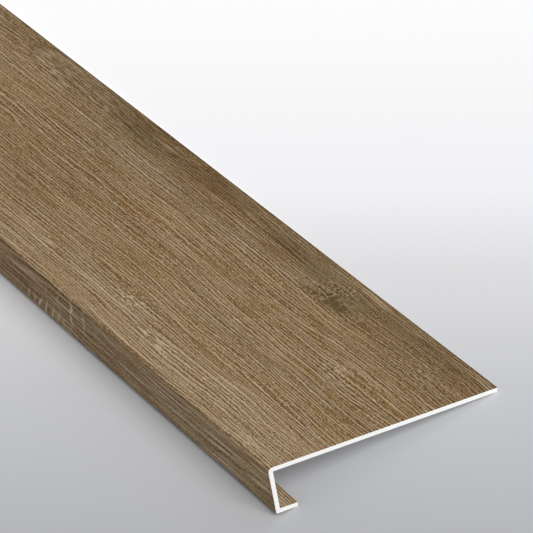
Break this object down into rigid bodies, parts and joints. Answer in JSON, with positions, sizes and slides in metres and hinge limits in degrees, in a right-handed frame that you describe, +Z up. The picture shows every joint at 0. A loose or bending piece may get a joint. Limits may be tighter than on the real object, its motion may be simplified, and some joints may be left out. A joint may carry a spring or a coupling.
{
  "type": "stair tread",
  "caption": "Wood-look vinyl stair tread: a long sheet folded down at the front into an undercut nosing with a return lip, made to cap the top and front edge of an existing step.",
  "frame": {"origin": "on the floor under the middle of the part's box, as the tread lies unheld with its show face up", "axes": "+X along the nosing, +Y from the nosing to the rear edge that meets the riser, +Z up; the tread slopes down to the rear by 12.1 degrees, because its nosing hangs below it"},
  "size_m": [1.2, 0.3004, 0.0681],
  "materials": {
    "oak_decor_vinyl": "matte"
  },
  "bodies": {
    "root": {"stair_tread": "oak_decor_vinyl"}
  },
  "joints": []
}
